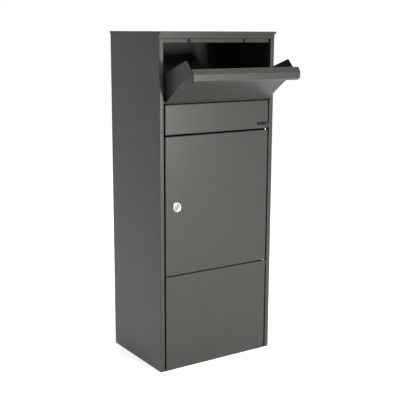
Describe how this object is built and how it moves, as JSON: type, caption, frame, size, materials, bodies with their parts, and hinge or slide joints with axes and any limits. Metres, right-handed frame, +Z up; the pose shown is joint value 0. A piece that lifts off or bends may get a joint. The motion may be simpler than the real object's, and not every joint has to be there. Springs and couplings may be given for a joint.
{
  "type": "parcel drop box",
  "caption": "Free-standing sheet-steel parcel drop box with a pull-down hatch that tips the parcel from a tray into a locked compartment with a front door.",
  "frame": {"origin": "centre of the cabinet's footprint on the floor", "axes": "+X to the right seen from the front, +Y to the back, +Z up; the hatch is open and the door is shut at rest"},
  "size_m": [0.419, 0.4546, 1.03],
  "materials": {
    "coat": "semi-matt anthracite powder coat",
    "nickel": "satin nickel",
    "zinc": "zinc plated",
    "rubber": "matt",
    "nylon": "black nylon",
    "badge": "dark anodised"
  },
  "bodies": {
    "cabinet": {"left_side_panel": "coat", "right_side_panel": "coat", "back_panel": "coat", "base_plate": "coat", "roof": "coat", "top_rail": "coat", "upper_front_panel": "coat", "lower_front_panel": "coat", "upper_panel_angles": "coat", "lower_panel_angles": "coat", "compartment_floor": "coat", "floor_supports": "coat", "floor_screws": "zinc", "door_stop": "coat", "door_bumpers": "rubber", "door_brackets": "coat", "door_pins": "nickel", "door_washer": "nickel", "hatch_pins": "coat", "hatch_spacers": "nylon", "tray_stops": "coat", "tray_pads": "rubber", "hatch_buffers": "rubber", "roof_nuts": "zinc", "back_rivets": "zinc", "badge_plate": "badge"},
    "hatch": {"hatch_panel": "coat", "hatch_grip": "coat", "left_cheek": "coat", "right_cheek": "coat", "parcel_tray": "coat", "tray_rivets": "zinc", "hatch_bushes": "nylon"},
    "door": {"door_panel": "coat", "door_hinge_plates": "coat", "door_bushes": "nylon", "lock_housing": "nickel", "lock_nut": "nickel"},
    "lock": {"lock_plug": "nickel", "lock_cam": "zinc", "lock_screw": "zinc"}
  },
  "joints": [
    {"name": "hatch_hinge", "type": "hinge", "parent": "cabinet", "child": "hatch", "pos_m": [0, -0.143, 0.828], "axis": [-1, 0, 0], "range_deg": [0, 54.5]},
    {"name": "door_hinge", "type": "hinge", "parent": "cabinet", "child": "door", "pos_m": [0.1825, -0.143, 0.5], "axis": [0, 0, 1], "range_deg": [0, 100]},
    {"name": "lock_turn", "type": "hinge", "parent": "door", "child": "lock", "pos_m": [-0.15, -0.14, 0.5145], "axis": [0, 1, 0], "range_deg": [0, 90]}
  ]
}
